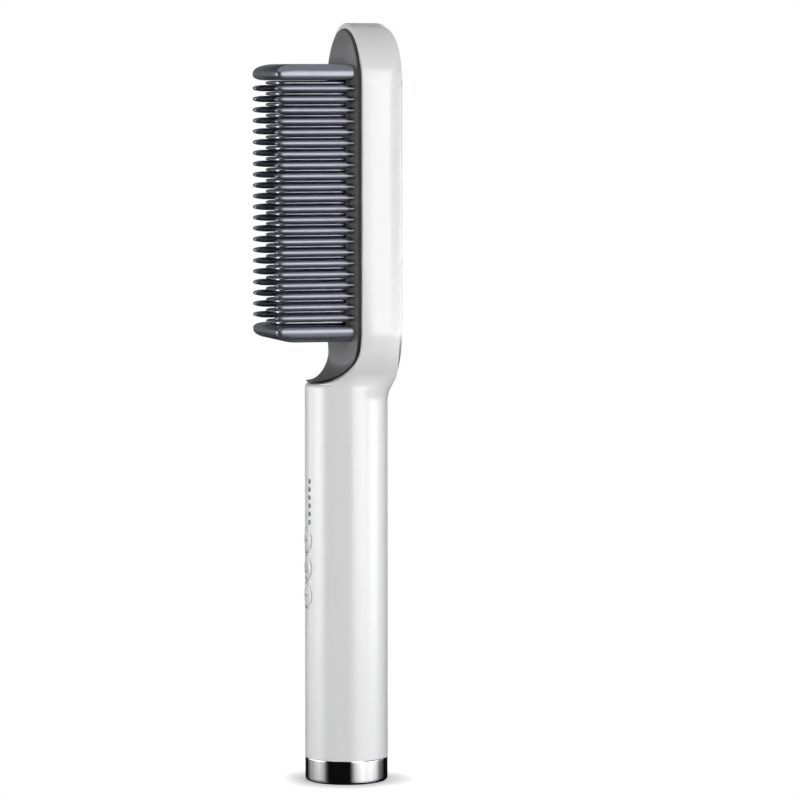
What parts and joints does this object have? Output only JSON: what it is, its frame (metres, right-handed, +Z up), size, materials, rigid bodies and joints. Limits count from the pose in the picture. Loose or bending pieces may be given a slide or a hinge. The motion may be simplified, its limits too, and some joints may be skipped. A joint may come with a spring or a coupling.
{
  "type": "heated straightening comb",
  "caption": "Handheld heated comb: round handle on a chrome base, long rounded head with heated fins between rows of guard teeth and a metal back panel.",
  "frame": {"origin": "centre of the base's resting face, on the handle's axis", "axes": "+Z up along the handle to the head, the teeth point to -Y, the back panel faces +Y"},
  "size_m": [0.046, 0.0456, 0.275],
  "materials": {
    "white_shell": "glossy white ABS",
    "frame_plastic": "matte dark grey heat-proof plastic",
    "tooth_plastic": "glossy charcoal heat-proof plastic",
    "fin_aluminium": "smooth coated aluminium",
    "plate_aluminium": "cast aluminium",
    "ceramic_strip": "polyimide film round a ceramic heater",
    "mica": "mica sheet",
    "spring_steel": "zinc plated steel",
    "thermistor_bead": "epoxy bead",
    "bezel_metal": "satin grey metallic",
    "panel_metal": "satin silver with a bright bevel",
    "board": "green fibreglass laminate",
    "black_plastic": "black engineering plastic",
    "button_white": "glossy white ABS",
    "plunger_orange": "moulded switch plunger",
    "clear_guide": "smoked acrylic",
    "led_chip": "light emitting diodes",
    "capacitor_film": "yellow box capacitor",
    "capacitor_can": "sleeved aluminium can",
    "fuse_glass": "glass tube",
    "lead_red": "silicone insulation",
    "lead_blue": "silicone insulation",
    "chrome_base": "dark bright chrome",
    "cap_plastic": "moulded grey plastic",
    "contact_brass": "brass"
  },
  "bodies": {
    "comb_body": {"housing": "white_shell", "comb_frame": "frame_plastic", "guard_teeth_right": "tooth_plastic", "guard_teeth_left": "tooth_plastic", "end_guard_top": "tooth_plastic", "end_guard_bottom": "tooth_plastic", "heat_plate": "plate_aluminium", "heating_fins": "fin_aluminium", "ptc_heater": "ceramic_strip", "mica_sheet": "mica", "heater_clamp": "spring_steel", "heater_screws": "spring_steel", "thermistor": "thermistor_bead", "thermal_fuse": "spring_steel", "heat_shield": "mica", "shield_screws": "spring_steel", "back_bezel": "bezel_metal", "back_panel": "panel_metal", "control_board": "board", "tact_switches": "black_plastic", "light_guide": "clear_guide", "led_array": "led_chip", "microcontroller": "black_plastic", "triac": "black_plastic", "film_capacitor": "capacitor_film", "electrolytic_capacitor": "capacitor_can", "board_fuse": "fuse_glass", "heater_leads": "lead_red", "power_leads": "lead_blue", "base_ring": "chrome_base", "base_cap": "cap_plastic", "contact_brushes": "contact_brass"},
    "plus": {"plus_button": "button_white", "plus_plunger": "plunger_orange"},
    "power": {"power_button": "button_white", "power_plunger": "plunger_orange"},
    "minus": {"minus_button": "button_white", "minus_plunger": "plunger_orange"},
    "swivel": {"cord_swivel": "black_plastic", "contact_rings": "contact_brass"}
  },
  "joints": [
    {"name": "plus_press", "type": "slide", "parent": "comb_body", "child": "plus", "axis": [0, 1, 0], "range_m": [0, 0.0006], "stiffness_N_per_m": 1500, "springref_m": -0.0005},
    {"name": "power_press", "type": "slide", "parent": "comb_body", "child": "power", "axis": [0, 1, 0], "range_m": [0, 0.0006], "stiffness_N_per_m": 1500, "springref_m": -0.0005},
    {"name": "minus_press", "type": "slide", "parent": "comb_body", "child": "minus", "axis": [0, 1, 0], "range_m": [0, 0.0006], "stiffness_N_per_m": 1500, "springref_m": -0.0005},
    {"name": "swivel_turn", "type": "hinge", "parent": "comb_body", "child": "swivel", "pos_m": [0, 0, 0.003], "axis": [0, 0, 1], "continuous": true}
  ]
}
